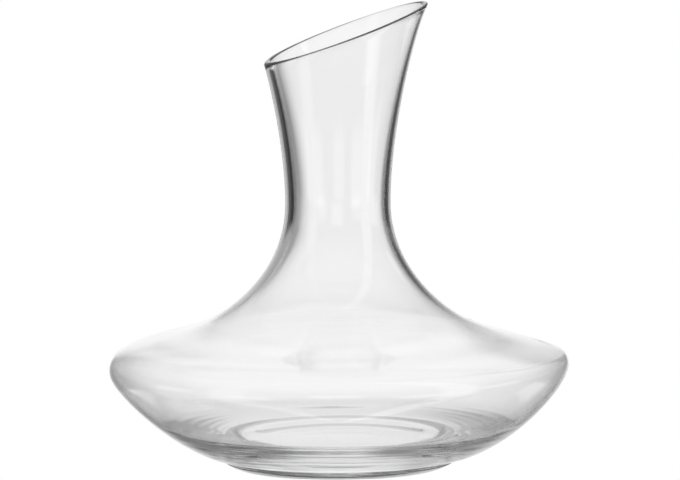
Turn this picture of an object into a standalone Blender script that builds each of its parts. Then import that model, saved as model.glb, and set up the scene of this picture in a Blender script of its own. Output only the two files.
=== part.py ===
"""Wine decanter: a blown glass vessel with a slanted lip, on a thin glass foot fused under its bowl.

The frame is in metres with +Z up. The origin is the centre of the circle that the foot stands on,
and +X points to the high side of the lip. Dimensions below are in millimetres.
"""

import math

import bmesh
import bpy

MM = 0.001

# Vessel, outside. A knot is where the outline turns, and a reach is how far it runs straight on from a knot.
BOWL_RADIUS = 110.0
UNDERSIDE_SLOPE = 0.065
SHOULDER_RADIUS = 63.9
SHOULDER_HEIGHT = 69.6
SHOULDER_SLOPE = 0.435
SHOULDER_REACH_IN = 9.7
WAIST_RADIUS = 25.2
WAIST_HEIGHT = 127.1
WAIST_REACH_DOWN = 34.3
WAIST_REACH_UP = 32.2
FLARE_HEIGHT = 230.0
FLARE_REACH_DOWN = 18.7

# The vessel is free-blown, so its outline under the low side of the lip differs a little from the one under
# the high side. The power keeps the high side's shape near that side. The bowl's tip is the arc round its
# widest place, which turns down and up from level by these angles.
HIGH_SIDE_POWER = 5
UNDERSIDE_REACH = (17.6, 25.9)
TIP_REACH_DOWN = (18.3, 12.5)
TIP_RADIUS = (9.7, 4.35)
TIP_HEIGHT = (47.3, 50.3)
TIP_TURN_DOWN = (math.radians(34.0), 0.0)
TIP_TURN_UP = (math.radians(57.7), math.radians(76.0))
TIP_REACH_UP = (13.1, 23.7)
SHOULDER_REACH_OUT = (18.5, 12.1)
SHOULDER_RISE = (0.5, -0.45)
FLARE_RADIUS = (49.5, 47.2)
FLARE_REACH_IN = (13.5, 10.5)

# Mouth, a plane that slants up towards +X.
MOUTH_HEIGHT = 207.6
MOUTH_TILT = math.radians(20.0)
LIP_ROUND = 1.1

# Thickness of the wall at the underside, the tip's two ends, the shoulder, the waist and the flare.
WALLS = ((2.2, 2.2), (1.5, 1.3), (1.5, 1.3), (2.0, 1.9), (4.1, 3.4), (3.1, 2.0))

# Foot and base. Inside, the thick base runs into the wall at the floor's edge.
FOOT_RADIUS = 54.6
FOOT_BULGE_HEIGHT = 2.9
FOOT_BULGE_REACH = (2.0, 1.2)
FOOT_TOP_RADIUS = 53.0
FOOT_TOP = 3.85
CONTACT_OUTER_RADIUS = 46.7
CONTACT_INNER_RADIUS = 41.0
CONTACT_REACH = 3.0
DISH_HEIGHT = 1.5
FUSED_GAP = 0.3
UNDERSIDE_HEIGHT = FOOT_TOP + FUSED_GAP
FLOOR_HEIGHT = 17.5
FLOOR_REACH = 40.0
FLOOR_EDGE_RADIUS = 86.0
FLOOR_EDGE_REACH = 13.0

# Fineness of the mesh, and how close a search gets.
SEGMENTS = 48
SPAN_RINGS = (8, 5, 7, 8, 6)
FLOOR_RINGS = 6
FOOT_EDGE_RINGS = 3
DISH_RINGS = 3
LIP_RINGS = 5
HUB_SHARE = 0.1
HALVINGS = 30
SHARP_EDGE = math.radians(40.0)

# Glass.
REFRACTIVE_INDEX = 1.52
VESSEL_TINT = (0.97, 0.98, 0.975)
FOOT_TINT = (0.94, 0.955, 0.95)


def blend(low_and_high, side):
    """The value at a side, from -1 under the lip's low side to +1 under its high side."""
    low, high = low_and_high
    return low + (high - low) * ((side + 1) / 2) ** HIGH_SIDE_POWER


def moved(point, along, reach):
    """The point at a distance along a direction from another."""
    return point[0] + along[0] * reach, point[1] + along[1] * reach


def outline_spans(side):
    """The outside of the vessel from its underside to above the lip, as Bezier spans of (radius, height)."""
    underside = (FOOT_TOP_RADIUS, UNDERSIDE_HEIGHT)
    tip_radius = blend(TIP_RADIUS, side)
    tip_centre = (BOWL_RADIUS - tip_radius, blend(TIP_HEIGHT, side))
    turns = (-blend(TIP_TURN_DOWN, side), blend(TIP_TURN_UP, side))
    tip_low, tip_high = (moved(tip_centre, (math.cos(turn), math.sin(turn)), tip_radius) for turn in turns)
    along_low, along_high = ((-math.sin(turn), math.cos(turn)) for turn in turns)
    tip_reach = tip_radius * 4 / 3 * math.tan((turns[1] - turns[0]) / 4)
    shoulder = (SHOULDER_RADIUS, SHOULDER_HEIGHT + blend(SHOULDER_RISE, side))
    along_shoulder = (-1.0, SHOULDER_SLOPE)
    waist = (WAIST_RADIUS, WAIST_HEIGHT)
    flare = (blend(FLARE_RADIUS, side), FLARE_HEIGHT)
    return (
        (
            underside,
            moved(underside, (1.0, UNDERSIDE_SLOPE), blend(UNDERSIDE_REACH, side)),
            moved(tip_low, along_low, -blend(TIP_REACH_DOWN, side)),
            tip_low,
        ),
        (
            tip_low,
            moved(tip_low, along_low, tip_reach),
            moved(tip_high, along_high, -tip_reach),
            tip_high,
        ),
        (
            tip_high,
            moved(tip_high, along_high, blend(TIP_REACH_UP, side)),
            moved(shoulder, along_shoulder, -blend(SHOULDER_REACH_OUT, side)),
            shoulder,
        ),
        (
            shoulder,
            moved(shoulder, along_shoulder, SHOULDER_REACH_IN),
            (waist[0], waist[1] - WAIST_REACH_DOWN),
            waist,
        ),
        (
            waist,
            (waist[0], waist[1] + WAIST_REACH_UP),
            (flare[0] - blend(FLARE_REACH_IN, side), flare[1] - FLARE_REACH_DOWN),
            flare,
        ),
    )


def on_bezier(span, t):
    """The point at t, from 0 to 1, along a cubic Bezier span."""
    s = 1 - t
    weights = (s**3, 3 * s * s * t, 3 * s * t * t, t**3)
    return tuple(sum(w * p[axis] for w, p in zip(weights, span)) for axis in (0, 1))


def along_bezier(span, t):
    """The direction of a span at t."""
    s = 1 - t
    weights = (s * s, 2 * s * t, t * t)
    run, rise = (
        sum(w * (b[axis] - a[axis]) for w, a, b in zip(weights, span, span[1:]))
        for axis in (0, 1)
    )
    length = math.hypot(run, rise)
    return run / length, rise / length


def outer_point(side, index, t):
    """The point of the vessel's outside at t along a span."""
    return on_bezier(outline_spans(side)[index], t)


def inner_point(side, index, t):
    """The point of the vessel's inside that faces t along a span, square in from the outside."""
    span = outline_spans(side)[index]
    run, rise = along_bezier(span, t)
    first, last = (blend(WALLS[knot], side) for knot in (index, index + 1))
    eased = t * t * (3 - 2 * t)
    return moved(on_bezier(span, t), (-rise, run), first + (last - first) * eased)


def first_where(is_past):
    """The lowest t, from 0 to 1, from which is_past(t) holds."""
    low, high = 0.0, 1.0
    for _ in range(HALVINGS):
        middle = (low + high) / 2
        low, high = (low, middle) if is_past(middle) else (middle, high)
    return high


def wall_points(point_at, side, start=0.0):
    """One surface of the wall, from t = start on the underside's span up to where the lip rounds over."""
    neck = len(SPAN_RINGS) - 1

    def past_mouth(t):
        radius, height = point_at(side, neck, t)
        return height > MOUTH_HEIGHT - LIP_ROUND + radius * side * math.tan(MOUTH_TILT)

    ends = [1.0] * neck + [first_where(past_mouth)]
    points = [point_at(side, 0, start)]
    for index, (rings, end) in enumerate(zip(SPAN_RINGS, ends)):
        first = start if index == 0 else 0.0
        step = (end - first) / rings
        points += [point_at(side, index, first + step * ring) for ring in range(1, rings + 1)]
    return points


def lip_points(inner, outer):
    """The rounded lip from the inside of the wall over to its outside, without those two ends."""
    points = []
    for ring in range(1, LIP_RINGS + 1):
        turn = math.pi * ring / (LIP_RINGS + 1)
        share = (1 - math.cos(turn)) / 2
        radius = inner[0] + (outer[0] - inner[0]) * share
        height = inner[1] + (outer[1] - inner[1]) * share
        points.append((radius, height + LIP_ROUND * math.sin(turn)))
    return points


def points_from_hub(span, rings):
    """Points along a span that starts on the axis, from a small hub out to the span's end."""
    return [on_bezier(span, HUB_SHARE + (1 - HUB_SHARE) * ring / rings) for ring in range(rings + 1)]


def vessel_section(azimuth):
    """The cut face of the vessel at an azimuth, from the hub of its floor over the lip to its underside's."""
    side = math.cos(azimuth)
    floor_edge = first_where(lambda t: inner_point(side, 0, t)[0] > FLOOR_EDGE_RADIUS)
    inside = wall_points(inner_point, side, floor_edge)
    outside = wall_points(outer_point, side)
    along = along_bezier(outline_spans(side)[0], floor_edge)
    edge = inside[0]
    floor = ((0.0, FLOOR_HEIGHT), (FLOOR_REACH, FLOOR_HEIGHT), moved(edge, along, -FLOOR_EDGE_REACH), edge)
    hub = (floor[1][0] * HUB_SHARE, UNDERSIDE_HEIGHT)
    return (
        points_from_hub(floor, FLOOR_RINGS)[:-1]
        + inside
        + lip_points(inside[-1], outside[-1])
        + outside[::-1]
        + [hub]
    )


def foot_section(azimuth):
    """The cut face of the foot, the same at every azimuth, from the hub of its top to the hub of its dish."""
    inner = (CONTACT_INNER_RADIUS, 0.0)
    dish = ((0.0, DISH_HEIGHT), (inner[0] / 2, DISH_HEIGHT), (inner[0] - DISH_HEIGHT, 0.0), inner)
    contact = (CONTACT_OUTER_RADIUS, 0.0)
    bulge = (FOOT_RADIUS, FOOT_BULGE_HEIGHT)
    above_contact = (contact[0] + CONTACT_REACH, 0.0)
    under_bulge = (bulge[0] - FOOT_BULGE_REACH[0], bulge[1] - FOOT_BULGE_REACH[1])
    edge = (contact, above_contact, under_bulge, bulge)
    rounded = [on_bezier(edge, 1 - ring / FOOT_EDGE_RINGS) for ring in range(FOOT_EDGE_RINGS + 1)]
    top = [(HUB_SHARE * FOOT_RADIUS, FOOT_TOP), (FOOT_TOP_RADIUS, FOOT_TOP)]
    return top + rounded + points_from_hub(dish, DISH_RINGS)[::-1]


def extruded_ring(bm, edges):
    """The vertices and edges of a new ring, extruded from the ring of edges."""
    made = bmesh.ops.extrude_edge_only(bm, edges=edges)["geom"]
    verts = [item for item in made if isinstance(item, bmesh.types.BMVert)]
    own = set(verts)
    return verts, [item for item in made if isinstance(item, bmesh.types.BMEdge) and set(item.verts) <= own]


def place_ring(verts, sections, station):
    """Moves each vertex of a ring to the station of the section at its own azimuth."""
    for vert in verts:
        turn = math.atan2(vert.co.y, vert.co.x) / (2 * math.pi)
        azimuth = round(turn * len(sections)) % len(sections)
        radius, height = sections[azimuth][station]
        angle = 2 * math.pi * azimuth / len(sections)
        vert.co = (radius * math.cos(angle) * MM, radius * math.sin(angle) * MM, height * MM)


def turned_object(name, section_at, material):
    """A piece drawn round the axis ring by ring, closed by a flat hub at each end of its section."""
    sections = [section_at(2 * math.pi * segment / SEGMENTS) for segment in range(SEGMENTS)]
    bm = bmesh.new()
    verts = bmesh.ops.create_circle(bm, cap_ends=True, radius=MM, segments=SEGMENTS)["verts"]
    place_ring(verts, sections, 0)
    edges = list(bm.edges)
    for station in range(1, len(sections[0])):
        verts, edges = extruded_ring(bm, edges)
        place_ring(verts, sections, station)
    bmesh.ops.contextual_create(bm, geom=edges)
    bmesh.ops.recalc_face_normals(bm, faces=bm.faces)
    mesh = bpy.data.meshes.new(name)
    bm.to_mesh(mesh)
    bm.free()
    mesh.materials.append(material)
    mesh.shade_smooth()
    mesh.set_sharp_from_angle(angle=SHARP_EDGE)
    made = bpy.data.objects.new(name, mesh)
    bpy.context.scene.collection.objects.link(made)
    return made


def glass_material(name, tint):
    material = bpy.data.materials.new(name)
    material.use_nodes = True
    shader = material.node_tree.nodes["Principled BSDF"]
    shader.inputs["Base Color"].default_value = (*tint, 1.0)
    shader.inputs["Metallic"].default_value = 0.0
    shader.inputs["Roughness"].default_value = 0.0
    shader.inputs["IOR"].default_value = REFRACTIVE_INDEX
    shader.inputs["Transmission Weight"].default_value = 1.0
    return material


def main():
    for leftover in list(bpy.data.objects):
        bpy.data.objects.remove(leftover)
    turned_object("vessel", vessel_section, glass_material("clear_glass", VESSEL_TINT))
    turned_object("foot", foot_section, glass_material("foot_glass", FOOT_TINT))


main()
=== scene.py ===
import math

import bmesh
import bpy
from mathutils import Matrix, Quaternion, Vector


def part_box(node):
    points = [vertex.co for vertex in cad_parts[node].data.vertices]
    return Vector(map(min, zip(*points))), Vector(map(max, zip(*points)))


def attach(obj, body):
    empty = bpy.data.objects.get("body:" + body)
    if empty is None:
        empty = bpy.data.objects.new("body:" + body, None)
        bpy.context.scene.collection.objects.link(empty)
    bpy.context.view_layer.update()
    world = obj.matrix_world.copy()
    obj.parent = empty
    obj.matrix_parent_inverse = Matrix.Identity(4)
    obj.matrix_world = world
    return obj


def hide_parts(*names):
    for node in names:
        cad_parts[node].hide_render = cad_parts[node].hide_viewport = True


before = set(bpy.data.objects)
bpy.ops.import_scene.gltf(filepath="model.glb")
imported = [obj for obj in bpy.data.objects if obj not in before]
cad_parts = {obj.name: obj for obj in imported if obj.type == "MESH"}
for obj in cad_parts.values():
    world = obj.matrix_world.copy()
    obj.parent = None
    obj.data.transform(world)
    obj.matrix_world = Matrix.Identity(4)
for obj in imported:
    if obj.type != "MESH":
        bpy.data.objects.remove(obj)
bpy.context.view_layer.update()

# ---------------------------------------------------------------- sizes, in metres
MM = 0.001
vessel_low, vessel_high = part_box("vessel")
foot_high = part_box("foot")[1]

# Taken off the skin's widest and highest places, to keep it inside the solids' box.
CLEARANCE = 0.005 * MM

# Outside of the vessel. Its outline has knots at the underside, at both ends of the tip's round, and at the
# shoulder, the waist and the flare. A reach is how far a Bezier handle is from its knot, and at the underside
# and the shoulder, which slope, it is taken along the radius.
BOWL_RADIUS = (vessel_high.y - vessel_low.y) / 2 - CLEARANCE
UNDERSIDE_SLOPE = 0.065
SHOULDER_RADIUS = 63.9 * MM
SHOULDER_HEIGHT = 69.6 * MM
SHOULDER_SLOPE = 0.435
SHOULDER_REACH_IN = 9.7 * MM
WAIST_RADIUS = 25.2 * MM
WAIST_HEIGHT = 127.1 * MM
WAIST_REACH_DOWN = 34.3 * MM
WAIST_REACH_UP = 32.2 * MM
FLARE_HEIGHT = 230.0 * MM  # above the mouth, which cuts the flare off
FLARE_REACH_DOWN = 18.7 * MM

# What differs between the lip's low side and its high side, as (low side, high side). The tip is the round at
# the bowl's widest place, and a turn is the angle that this round goes through below or above the level.
UNDERSIDE_REACH = (17.6 * MM, 25.9 * MM)
TIP_REACH_DOWN = (18.3 * MM, 12.5 * MM)
TIP_RADIUS = (9.7 * MM, 4.35 * MM)
TIP_HEIGHT = (47.3 * MM, 50.3 * MM)
TIP_TURN_DOWN = (math.radians(34.0), 0.0)
TIP_TURN_UP = (math.radians(57.7), math.radians(76.0))
TIP_REACH_UP = (13.1 * MM, 23.7 * MM)
SHOULDER_REACH_OUT = (18.5 * MM, 12.1 * MM)
SHOULDER_RISE = (0.5 * MM, -0.45 * MM)
FLARE_RADIUS = (49.5 * MM, 47.2 * MM)
FLARE_REACH_IN = (13.5 * MM, 10.5 * MM)
HIGH_SIDE_POWER = 5

# Thickness of the wall in millimetres at the six knots, from the underside up, as (low side, high side).
WALLS = ((2.2, 2.2), (1.5, 1.3), (1.5, 1.3), (2.0, 1.9), (4.1, 3.4), (3.1, 2.0))

# The mouth is cut on a slant. Its height is taken on the axis.
MOUTH_HEIGHT = 207.6 * MM - CLEARANCE
MOUTH_TILT = math.radians(20.0)
LIP_ROUND = 1.1 * MM

# Foot. The notch above it lies in the middle of the gap between the two solids.
FOOT_RADIUS = foot_high.y
FOOT_BULGE_HEIGHT = 2.9 * MM
FOOT_BULGE_REACH_IN = 2.0 * MM
FOOT_BULGE_REACH_DOWN = 1.2 * MM
NOTCH_RADIUS = 53.0 * MM
NOTCH_HEIGHT = (foot_high.z + vessel_low.z) / 2
CONTACT_OUTER_RADIUS = 46.7 * MM
CONTACT_INNER_RADIUS = 41.0 * MM
CONTACT_REACH_OUT = 3.0 * MM
DISH_HEIGHT = 1.5 * MM

# Floor of the bowl, which runs out to the inside of the wall.
FLOOR_HEIGHT = 17.5 * MM
FLOOR_REACH = 40.0 * MM
FLOOR_EDGE_RADIUS = 86.0 * MM
FLOOR_EDGE_REACH = 13.0 * MM

# Segments and rings of the mesh, with one count of rings for each span of the outline.
SEGMENTS = 192
SPAN_RINGS = (30, 14, 30, 30, 24)
FLOOR_RINGS = 16
LIP_RINGS = 9
FOOT_EDGE_RINGS = 12
DISH_RINGS = 12

# Steps in the search for a place on a span.
HALVINGS = 30


def blend(low_and_high, side):
    """The value at a side, from -1 at the lip's low side to +1 at its high side. It changes most near +1."""
    low, high = low_and_high
    return low + (high - low) * ((side + 1) / 2) ** HIGH_SIDE_POWER


def outer_spans(side):
    """The outside of the vessel from its underside to above the lip, as Bezier spans of (radius, height)."""
    underside = Vector((NOTCH_RADIUS, NOTCH_HEIGHT))
    tip_radius = blend(TIP_RADIUS, side)
    tip_centre = Vector((BOWL_RADIUS - tip_radius, blend(TIP_HEIGHT, side)))
    turns = (-blend(TIP_TURN_DOWN, side), blend(TIP_TURN_UP, side))
    tip_low, tip_high = [tip_centre + tip_radius * Vector((math.cos(turn), math.sin(turn))) for turn in turns]
    along_low, along_high = [Vector((-math.sin(turn), math.cos(turn))) for turn in turns]
    tip_reach = tip_radius * 4 / 3 * math.tan((turns[1] - turns[0]) / 4)
    shoulder = Vector((SHOULDER_RADIUS, SHOULDER_HEIGHT + blend(SHOULDER_RISE, side)))
    along_shoulder = Vector((1.0, -SHOULDER_SLOPE))
    waist = Vector((WAIST_RADIUS, WAIST_HEIGHT))
    flare = Vector((blend(FLARE_RADIUS, side), FLARE_HEIGHT))
    return (
        (
            underside,
            underside + Vector((1.0, UNDERSIDE_SLOPE)) * blend(UNDERSIDE_REACH, side),
            tip_low - along_low * blend(TIP_REACH_DOWN, side),
            tip_low,
        ),
        (
            tip_low,
            tip_low + along_low * tip_reach,
            tip_high - along_high * tip_reach,
            tip_high,
        ),
        (
            tip_high,
            tip_high + along_high * blend(TIP_REACH_UP, side),
            shoulder + along_shoulder * blend(SHOULDER_REACH_OUT, side),
            shoulder,
        ),
        (
            shoulder,
            shoulder - along_shoulder * SHOULDER_REACH_IN,
            waist - Vector((0.0, WAIST_REACH_DOWN)),
            waist,
        ),
        (
            waist,
            waist + Vector((0.0, WAIST_REACH_UP)),
            flare - Vector((blend(FLARE_REACH_IN, side), FLARE_REACH_DOWN)),
            flare,
        ),
    )


def on_bezier(span, t):
    """The point at t, from 0 to 1, along a cubic Bezier span."""
    s = 1 - t
    return span[0] * s**3 + span[1] * (3 * s * s * t) + span[2] * (3 * s * t * t) + span[3] * t**3


def along_bezier(span, t):
    """The direction of a cubic Bezier span at t."""
    s = 1 - t
    slope = (span[1] - span[0]) * s * s + (span[2] - span[1]) * (2 * s * t) + (span[3] - span[2]) * t * t
    return slope.normalized()


def outer_point(side, index, t):
    """The outside of the wall at t on a span."""
    return on_bezier(outer_spans(side)[index], t)


def inner_point(side, index, t):
    """The inside of the wall, square in from the outside's point at t on a span."""
    span = outer_spans(side)[index]
    along = along_bezier(span, t)
    eased = t * t * (3 - 2 * t)
    wall = blend(WALLS[index], side) * (1 - eased) + blend(WALLS[index + 1], side) * eased
    return on_bezier(span, t) + Vector((-along.y, along.x)) * wall * MM


def first_where(is_past):
    """The lowest t, from 0 to 1, at which is_past(t) holds, when it stays so from there on."""
    low, high = 0.0, 1.0
    for _ in range(HALVINGS):
        middle = (low + high) / 2
        low, high = (low, middle) if is_past(middle) else (middle, high)
    return high


def wall_points(side, point_at, start=0.0):
    """One surface of the wall, from t = start on the underside's span up to where the lip rounds over."""
    def past_mouth(t):
        point = point_at(side, len(SPAN_RINGS) - 1, t)
        return point.y > MOUTH_HEIGHT - LIP_ROUND + point.x * side * math.tan(MOUTH_TILT)

    end = first_where(past_mouth)
    points = [point_at(side, 0, start)]
    for index, rings in enumerate(SPAN_RINGS):
        first = start if index == 0 else 0.0
        last = end if index == len(SPAN_RINGS) - 1 else 1.0
        step = (last - first) / rings
        points += [point_at(side, index, first + step * ring) for ring in range(1, rings + 1)]
    return points


def lip_points(inner, outer):
    """The rounded lip from the inside of the wall over to its outside, without those two ends."""
    points = []
    for ring in range(1, LIP_RINGS + 1):
        turn = math.pi * ring / (LIP_RINGS + 1)
        level = inner.lerp(outer, (1 - math.cos(turn)) / 2)
        points.append(level + Vector((0.0, LIP_ROUND * math.sin(turn))))
    return points


def floor_span(side, start):
    """The bowl's floor, from the axis out to the inside of the wall at t = start on the underside's span."""
    edge = inner_point(side, 0, start)
    along = along_bezier(outer_spans(side)[0], start)
    return (
        Vector((0.0, FLOOR_HEIGHT)),
        Vector((FLOOR_REACH, FLOOR_HEIGHT)),
        edge - along * FLOOR_EDGE_REACH,
        edge,
    )


def rim_span():
    """The foot's edge, from its bulge down to the flat ring."""
    bulge = Vector((FOOT_RADIUS, FOOT_BULGE_HEIGHT))
    contact = Vector((CONTACT_OUTER_RADIUS, 0.0))
    return (
        bulge,
        bulge - Vector((FOOT_BULGE_REACH_IN, FOOT_BULGE_REACH_DOWN)),
        contact + Vector((CONTACT_REACH_OUT, 0.0)),
        contact,
    )


def dish_span():
    """The dish under the foot, from the flat ring in to the axis."""
    ring_in = Vector((CONTACT_INNER_RADIUS, 0.0))
    return (
        ring_in,
        ring_in - Vector((DISH_HEIGHT, 0.0)),
        Vector((CONTACT_INNER_RADIUS / 2, DISH_HEIGHT)),
        Vector((0.0, DISH_HEIGHT)),
    )


def glass_section(azimuth):
    """The glass cut at an azimuth, from the middle of the floor over the lip to the middle of the dish."""
    side = math.cos(azimuth)
    start = first_where(lambda t: inner_point(side, 0, t).x > FLOOR_EDGE_RADIUS)
    floor = floor_span(side, start)
    inside = wall_points(side, inner_point, start)
    outside = wall_points(side, outer_point)
    rim = rim_span()
    dish = dish_span()
    return (
        [on_bezier(floor, ring / FLOOR_RINGS) for ring in range(FLOOR_RINGS)]
        + inside
        + lip_points(inside[-1], outside[-1])
        + outside[::-1]
        + [on_bezier(rim, ring / FOOT_EDGE_RINGS) for ring in range(FOOT_EDGE_RINGS + 1)]
        + [on_bezier(dish, ring / DISH_RINGS) for ring in range(DISH_RINGS + 1)]
    )


def turned_mesh(name, section_at):
    """A closed mesh drawn round the axis. The section starts and ends on the axis."""
    bm = bmesh.new()
    rings = []
    for segment in range(SEGMENTS):
        angle = 2 * math.pi * segment / SEGMENTS
        section = section_at(angle)
        rings.append([
            bm.verts.new((p.x * math.cos(angle), p.x * math.sin(angle), p.y)) for p in section[1:-1]
        ])
    start = bm.verts.new((0.0, 0.0, section[0].y))
    end = bm.verts.new((0.0, 0.0, section[-1].y))
    for this, following in zip(rings, rings[1:] + rings[:1]):
        bm.faces.new((start, this[0], following[0]))
        bm.faces.new((end, following[-1], this[-1]))
        for station in range(len(this) - 1):
            bm.faces.new((this[station], this[station + 1], following[station + 1], following[station]))
    bmesh.ops.recalc_face_normals(bm, faces=bm.faces)
    mesh = bpy.data.meshes.new(name)
    bm.to_mesh(mesh)
    bm.free()
    mesh.shade_smooth()
    made = bpy.data.objects.new(name, mesh)
    bpy.context.scene.collection.objects.link(made)
    return made


# ---------------------------------------------------------------- glass
# Waves and rings have their lengths in metres, their heights in millimetres and their wander in radians. The
# waves are drawn out upwards by 1 / WAVE_STRETCH. Each RADII or TOP is a smooth step over the radius or the
# height, as (where it starts, where it is full), and SMUDGE_SHARE is one over the noise's value.
WHITE = (1.0, 1.0, 1.0, 1.0)
REFRACTIVE_INDEX = 1.52
WAVE_LENGTH = 0.030
WAVE_STRETCH = 0.35
WAVE_HEIGHT = 0.03
RING_SPACING = 0.0052
RING_WANDER = 1.5
RING_HEIGHT = 0.020
RING_RADII = (0.053, 0.060)
RING_TOP = (0.026, 0.016)
SMUDGE_LENGTH = 0.012
SMUDGE_DETAIL = 3.0
SMUDGE_SHARE = (0.5, 0.8)
SMUDGE_ROUGHNESS = 0.006
PRESSED_ROUGHNESS = 0.085
THICK_TINT = (0.985, 0.992, 0.99, 1.0)
THICK_TOP = (0.022, 0.004)
# Painted shade: a dark grey painted into the glass's colour at the foot's rim to darken the notch, and the
# radii and heights where it lies.
RIM_PAINTED_SHADE = (0.42, 0.43, 0.43, 1.0)
RIM_SHADE_RADII = (0.046, 0.049)
RIM_SHADE_TOP = (0.0044, 0.0037)


class Graph:
    """Short calls for making and joining the nodes of one node tree."""

    def __init__(self, tree):
        self.nodes = tree.nodes
        self.links = tree.links

    def node(self, kind, **inputs):
        """A new node with its inputs set by name, each to a constant or to another node's output."""
        made = self.nodes.new(kind)
        for name, value in inputs.items():
            self.join(value, made.inputs[name.replace("_", " ")])
        return made

    def join(self, value, socket):
        """Set a socket to a constant, or link another node's output to it."""
        if isinstance(value, bpy.types.NodeSocket):
            self.links.new(value, socket)
        else:
            socket.default_value = value

    def math(self, operation, *values):
        """The result of a Math node."""
        made = self.nodes.new("ShaderNodeMath")
        made.operation = operation
        for value, socket in zip(values, made.inputs):
            self.join(value, socket)
        return made.outputs[0]

    def mix(self, share, first, second):
        """The colour at a share of the way from the first to the second."""
        made = self.nodes.new("ShaderNodeMix")
        made.data_type = "RGBA"
        sockets = {socket.identifier: socket for socket in made.inputs}
        for value, name in ((share, "Factor_Float"), (first, "A_Color"), (second, "B_Color")):
            self.join(value, sockets[name])
        return made.outputs[2]

    def ramp(self, value, start, end, low=0.0, high=1.0):
        """A smooth step of value from low at start to high at end."""
        made = self.node(
            "ShaderNodeMapRange", Value=value, From_Min=start, From_Max=end, To_Min=low, To_Max=high
        )
        made.interpolation_type = "SMOOTHSTEP"
        return made.outputs[0]


def glass_material():
    """Clear glass with faint waves from blowing, and rings and a duller skin on the pressed underside. It
    also has painted shade: its colour is painted dark grey at the foot's rim.
    """
    material = bpy.data.materials.new("clear_glass")
    material.use_nodes = True
    graph = Graph(material.node_tree)
    shader = material.node_tree.nodes["Principled BSDF"]
    where = graph.nodes.new("ShaderNodeTexCoord").outputs["Object"]
    axes = graph.node("ShaderNodeSeparateXYZ", Vector=where)
    x, y, z = axes.outputs
    radius = graph.math("SQRT", graph.math("ADD", graph.math("MULTIPLY", x, x), graph.math("MULTIPLY", y, y)))

    stretched = graph.node("ShaderNodeMapping", Vector=where, Scale=(1.0, 1.0, WAVE_STRETCH)).outputs[0]
    waves = graph.node("ShaderNodeTexNoise", Vector=stretched, Scale=1 / WAVE_LENGTH, Detail=0.0).outputs[0]
    wander = graph.math("MULTIPLY", waves, RING_WANDER)
    turns = graph.math("ADD", graph.math("MULTIPLY", radius, 2 * math.pi / RING_SPACING), wander)
    near_foot = graph.math("MULTIPLY", graph.ramp(radius, *RING_RADII), graph.ramp(z, *RING_TOP))
    rings = graph.math("MULTIPLY", graph.math("SINE", turns), near_foot)
    height = graph.math(
        "ADD",
        graph.math("MULTIPLY", waves, WAVE_HEIGHT),
        graph.math("MULTIPLY", rings, RING_HEIGHT),
    )
    bump = graph.node("ShaderNodeBump", Strength=1.0, Distance=MM, Height=height)
    graph.join(bump.outputs[0], shader.inputs["Normal"])

    smudges = graph.node(
        "ShaderNodeTexNoise", Vector=where, Scale=1 / SMUDGE_LENGTH, Detail=SMUDGE_DETAIL
    ).outputs[0]
    smudged = graph.ramp(smudges, *SMUDGE_SHARE, 0.0, SMUDGE_ROUGHNESS)
    roughness = graph.math("ADD", smudged, graph.math("MULTIPLY", near_foot, PRESSED_ROUGHNESS))
    graph.join(roughness, shader.inputs["Roughness"])

    tint = graph.mix(graph.ramp(z, *THICK_TOP), WHITE, THICK_TINT)
    # Painted shade: the glass's colour is painted dark grey at the foot's rim, to darken the notch above the
    # foot.
    rim = graph.math("MULTIPLY", graph.ramp(radius, *RIM_SHADE_RADII), graph.ramp(z, *RIM_SHADE_TOP))
    graph.join(graph.mix(rim, tint, RIM_PAINTED_SHADE), shader.inputs["Base Color"])
    shader.inputs["IOR"].default_value = REFRACTIVE_INDEX
    shader.inputs["Transmission Weight"].default_value = 1.0
    return material


glass = turned_mesh("decanter_glass", glass_section)
glass.data.materials.append(glass_material())
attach(glass, "root")
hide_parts("vessel", "foot")


# ---------------------------------------------------------------- stage
# The floor lies a little lower than the foot's flat ring.
STAGE_RADIUS = 1.2
STAGE_SEGMENTS = 96
STAGE_DROP = 0.0002
STAGE_GREY = (0.85, 0.85, 0.85, 1.0)


def stage_material():
    """Plain white to the camera, and matt pale grey to all other light."""
    material = bpy.data.materials.new("floor_white")
    material.use_nodes = True
    material.node_tree.nodes.clear()
    graph = Graph(material.node_tree)
    to_camera = graph.nodes.new("ShaderNodeLightPath").outputs["Is Camera Ray"]
    matt = graph.node("ShaderNodeBsdfDiffuse", Color=STAGE_GREY)
    plain = graph.node("ShaderNodeEmission", Color=WHITE, Strength=1.0)
    chosen = graph.nodes.new("ShaderNodeMixShader")
    for value, socket in zip((to_camera, matt.outputs[0], plain.outputs[0]), chosen.inputs):
        graph.join(value, socket)
    surface = graph.nodes.new("ShaderNodeOutputMaterial")
    graph.join(chosen.outputs[0], surface.inputs["Surface"])
    return material


def stage_floor():
    """A round floor under the foot, which isn't seen in the glass or through it."""
    bm = bmesh.new()
    bmesh.ops.create_circle(bm, cap_ends=True, radius=STAGE_RADIUS, segments=STAGE_SEGMENTS)
    mesh = bpy.data.meshes.new("floor")
    bm.to_mesh(mesh)
    bm.free()
    mesh.materials.append(stage_material())
    made = bpy.data.objects.new("floor", mesh)
    made.location = (0.0, 0.0, -STAGE_DROP)
    made.visible_transmission = False
    made.visible_glossy = False
    bpy.context.scene.collection.objects.link(made)
    return made


stage_floor()

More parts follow.
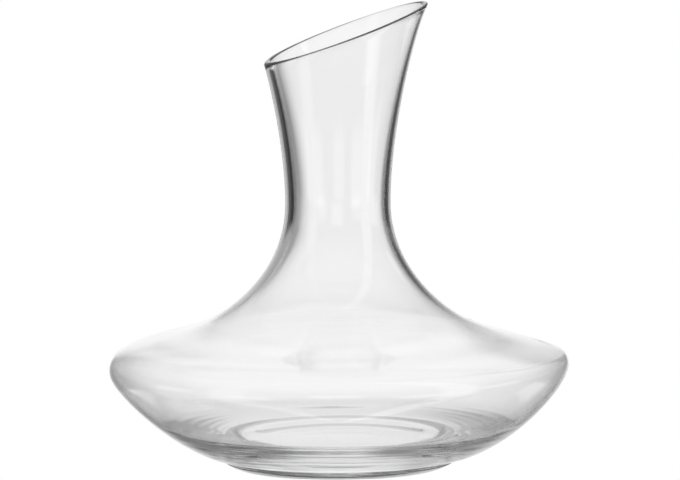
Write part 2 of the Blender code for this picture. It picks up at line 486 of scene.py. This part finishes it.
# ---------------------------------------------------------------- studio light
# Directions are in degrees: azimuth from +Y, behind the glass, towards +X, and elevation above the level.
# A pair of angles is a smooth step from the first, where it starts, to the second, where it is full.
# A panel is (azimuth, lowest elevation, highest elevation, softness). It is bright in its core, and its edge
# has the light DIM. The first is behind the glass in the main view, and the others in views from elsewhere.
PANELS = (
    (0, -60, 44, 9),
    (-90, -10, 7, 4),
    (90, -10, 7, 4),
    (180, -10, 10, 4),
    (-45, -36, -21, 4),
    (45, -36, -21, 4),
    (135, -26, -6, 4),
    (-135, -26, -6, 4),
)
PANEL_CORE = ((-17, -4), (20, 10))
PANEL_EDGE = ((-26, -19), (26, 19))
DIM = 0.28
# The dome round the panels is brighter behind the glass than in front of it.
DOME = 0.38
DOME_IN_FRONT = 0.30
DOME_TURN = (100, 60)
# Azimuths, width and height of the two dark strips.
STRIPS = (-48, 48)
STRIP_EDGE = (30, 20)
STRIP_HEIGHT = ((-24, -16), (6, -2))
DARK = 0.02
# Light overhead.
CEILING = (30, 50)
CEILING_LIGHT = 0.72
# The flag takes this share of the light away.
FLAG = 0.8
FLAG_SIDES = ((-1, 14), (70, 50))
FLAG_HEIGHT = ((-3, 8), (28, 17))
# All of the above is weaker low down than at the level.
SWEEP = (-50, 0)
SWEEP_LIGHT = (0.76, 0.96)
# A soft box is (azimuth, half width, strength). Its edge is added to the half width.
SOFT_BOXES = ((117, 9, 1.6), (-122, 9, 1.0))
SOFT_BOX_EDGE = (6, -3)
# The room's light, and the step over which it grows to 1 overhead.
ROOM = 0.25
OVERHEAD = (5, 36)

world = bpy.data.worlds.new("studio")
bpy.context.scene.world = world
world.use_nodes = True
world.node_tree.nodes.clear()
sky = Graph(world.node_tree)
direction = sky.nodes.new("ShaderNodeTexCoord").outputs["Generated"]
along_x, along_y, along_z = sky.node("ShaderNodeSeparateXYZ", Vector=direction).outputs
azimuth = sky.math("DEGREES", sky.math("ARCTAN2", along_x, along_y))
elevation = sky.math("DEGREES", sky.math("ARCSINE", along_z))


def off_centre(centre):
    """How far the azimuth is from centre, from -180 to 180."""
    return sky.math("WRAP", sky.math("SUBTRACT", azimuth, centre), 180.0, -180.0)


def between(value, rise, fall):
    """1 between the ends of two ramps of value, and 0 outside them."""
    return sky.math("MULTIPLY", sky.ramp(value, *rise), sky.ramp(value, *fall))


def panel(centre, low, high, soft):
    """A lit panel, brightest along its middle."""
    across = off_centre(centre)
    upright = between(elevation, (low - soft, low + soft), (high + soft, high - soft))
    edge = sky.math("MULTIPLY", between(across, *PANEL_EDGE), DIM)
    core = sky.math("MULTIPLY", between(across, *PANEL_CORE), 1.0 - DIM)
    return sky.math("MULTIPLY", sky.math("ADD", edge, core), upright)


# What is seen through the glass: the panels, and a dim dome with a dark strip on each side of the one behind.
dome = sky.ramp(sky.math("ABSOLUTE", azimuth), *DOME_TURN, DOME_IN_FRONT, DOME)
strips = [sky.ramp(sky.math("ABSOLUTE", off_centre(centre)), *STRIP_EDGE) for centre in STRIPS]
strip = sky.math("MULTIPLY", sky.math("MAXIMUM", *strips), between(elevation, *STRIP_HEIGHT))
field = sky.math("SUBTRACT", dome, sky.math("MULTIPLY", strip, DOME - DARK))
for place in PANELS:
    field = sky.math("MAXIMUM", field, panel(*place))
field = sky.math("MAXIMUM", field, sky.ramp(elevation, *CEILING, 0.0, CEILING_LIGHT))
field = sky.math("MULTIPLY", field, sky.ramp(elevation, *SWEEP, *SWEEP_LIGHT))

# A flag behind the glass takes light away on the right, above the level.
flag = sky.math("MULTIPLY", between(azimuth, *FLAG_SIDES), between(elevation, *FLAG_HEIGHT))
field = sky.math("MULTIPLY", field, sky.math("SUBTRACT", 1.0, sky.math("MULTIPLY", flag, FLAG)))

# What is mirrored in the glass: the same, and a dim room with two tall soft boxes in front.
room = sky.math("MAXIMUM", ROOM, sky.ramp(elevation, *OVERHEAD))
for centre, half_width, strength in SOFT_BOXES:
    across = sky.math("ABSOLUTE", off_centre(centre))
    outside, inside = [half_width + edge for edge in SOFT_BOX_EDGE]
    room = sky.math("MAXIMUM", room, sky.ramp(across, outside, inside, ROOM, ROOM + strength))

path = sky.nodes.new("ShaderNodeLightPath")
refracted = path.outputs["Is Transmission Ray"]
mirrored = sky.math("MULTIPLY", sky.math("MAXIMUM", room, field), sky.math("SUBTRACT", 1.0, refracted))
light = sky.math("ADD", mirrored, sky.math("MULTIPLY", field, refracted))
# The camera itself sees a plain white backdrop.
light = sky.math("MAXIMUM", light, path.outputs["Is Camera Ray"])
background = sky.node("ShaderNodeBackground", Color=WHITE, Strength=light)
surroundings = sky.nodes.new("ShaderNodeOutputWorld")
sky.join(background.outputs[0], surroundings.inputs["Surface"])

# ---------------------------------------------------------------- camera
# It stands far off in front, a little above the level, and is rolled a little about its own axis.
DISTANCE = 8.74
ELEVATION = math.radians(7.02)
ROLL = math.radians(0.42)
VIEW_WIDTH = 0.32468
SENSOR_WIDTH = 36.0
SHIFT = (0.00272, -0.0024)
TARGET = Vector((0.0, 0.0, 0.110))
CLIP_END = 100.0

# Light passes many glass surfaces before it leaves the bowl.
THROUGH_BOUNCES = 24
MIRROR_BOUNCES = 12

camera_data = bpy.data.cameras.new("camera")
camera = bpy.data.objects.new("camera", camera_data)
bpy.context.scene.collection.objects.link(camera)
camera_data.sensor_width = SENSOR_WIDTH
camera_data.lens = SENSOR_WIDTH * DISTANCE / VIEW_WIDTH
camera_data.shift_x, camera_data.shift_y = SHIFT
camera.rotation_mode = "QUATERNION"
back = Vector((0.0, -math.cos(ELEVATION), math.sin(ELEVATION)))
camera.location = TARGET + back * DISTANCE
camera.rotation_quaternion = (-back).to_track_quat("-Z", "Y") @ Quaternion((0.0, 0.0, 1.0), -ROLL)
camera_data.clip_end = CLIP_END
bpy.context.scene.camera = camera

scene = bpy.context.scene
scene.view_settings.view_transform = "Standard"
scene.cycles.max_bounces = THROUGH_BOUNCES
scene.cycles.transmission_bounces = THROUGH_BOUNCES
scene.cycles.glossy_bounces = MIRROR_BOUNCES
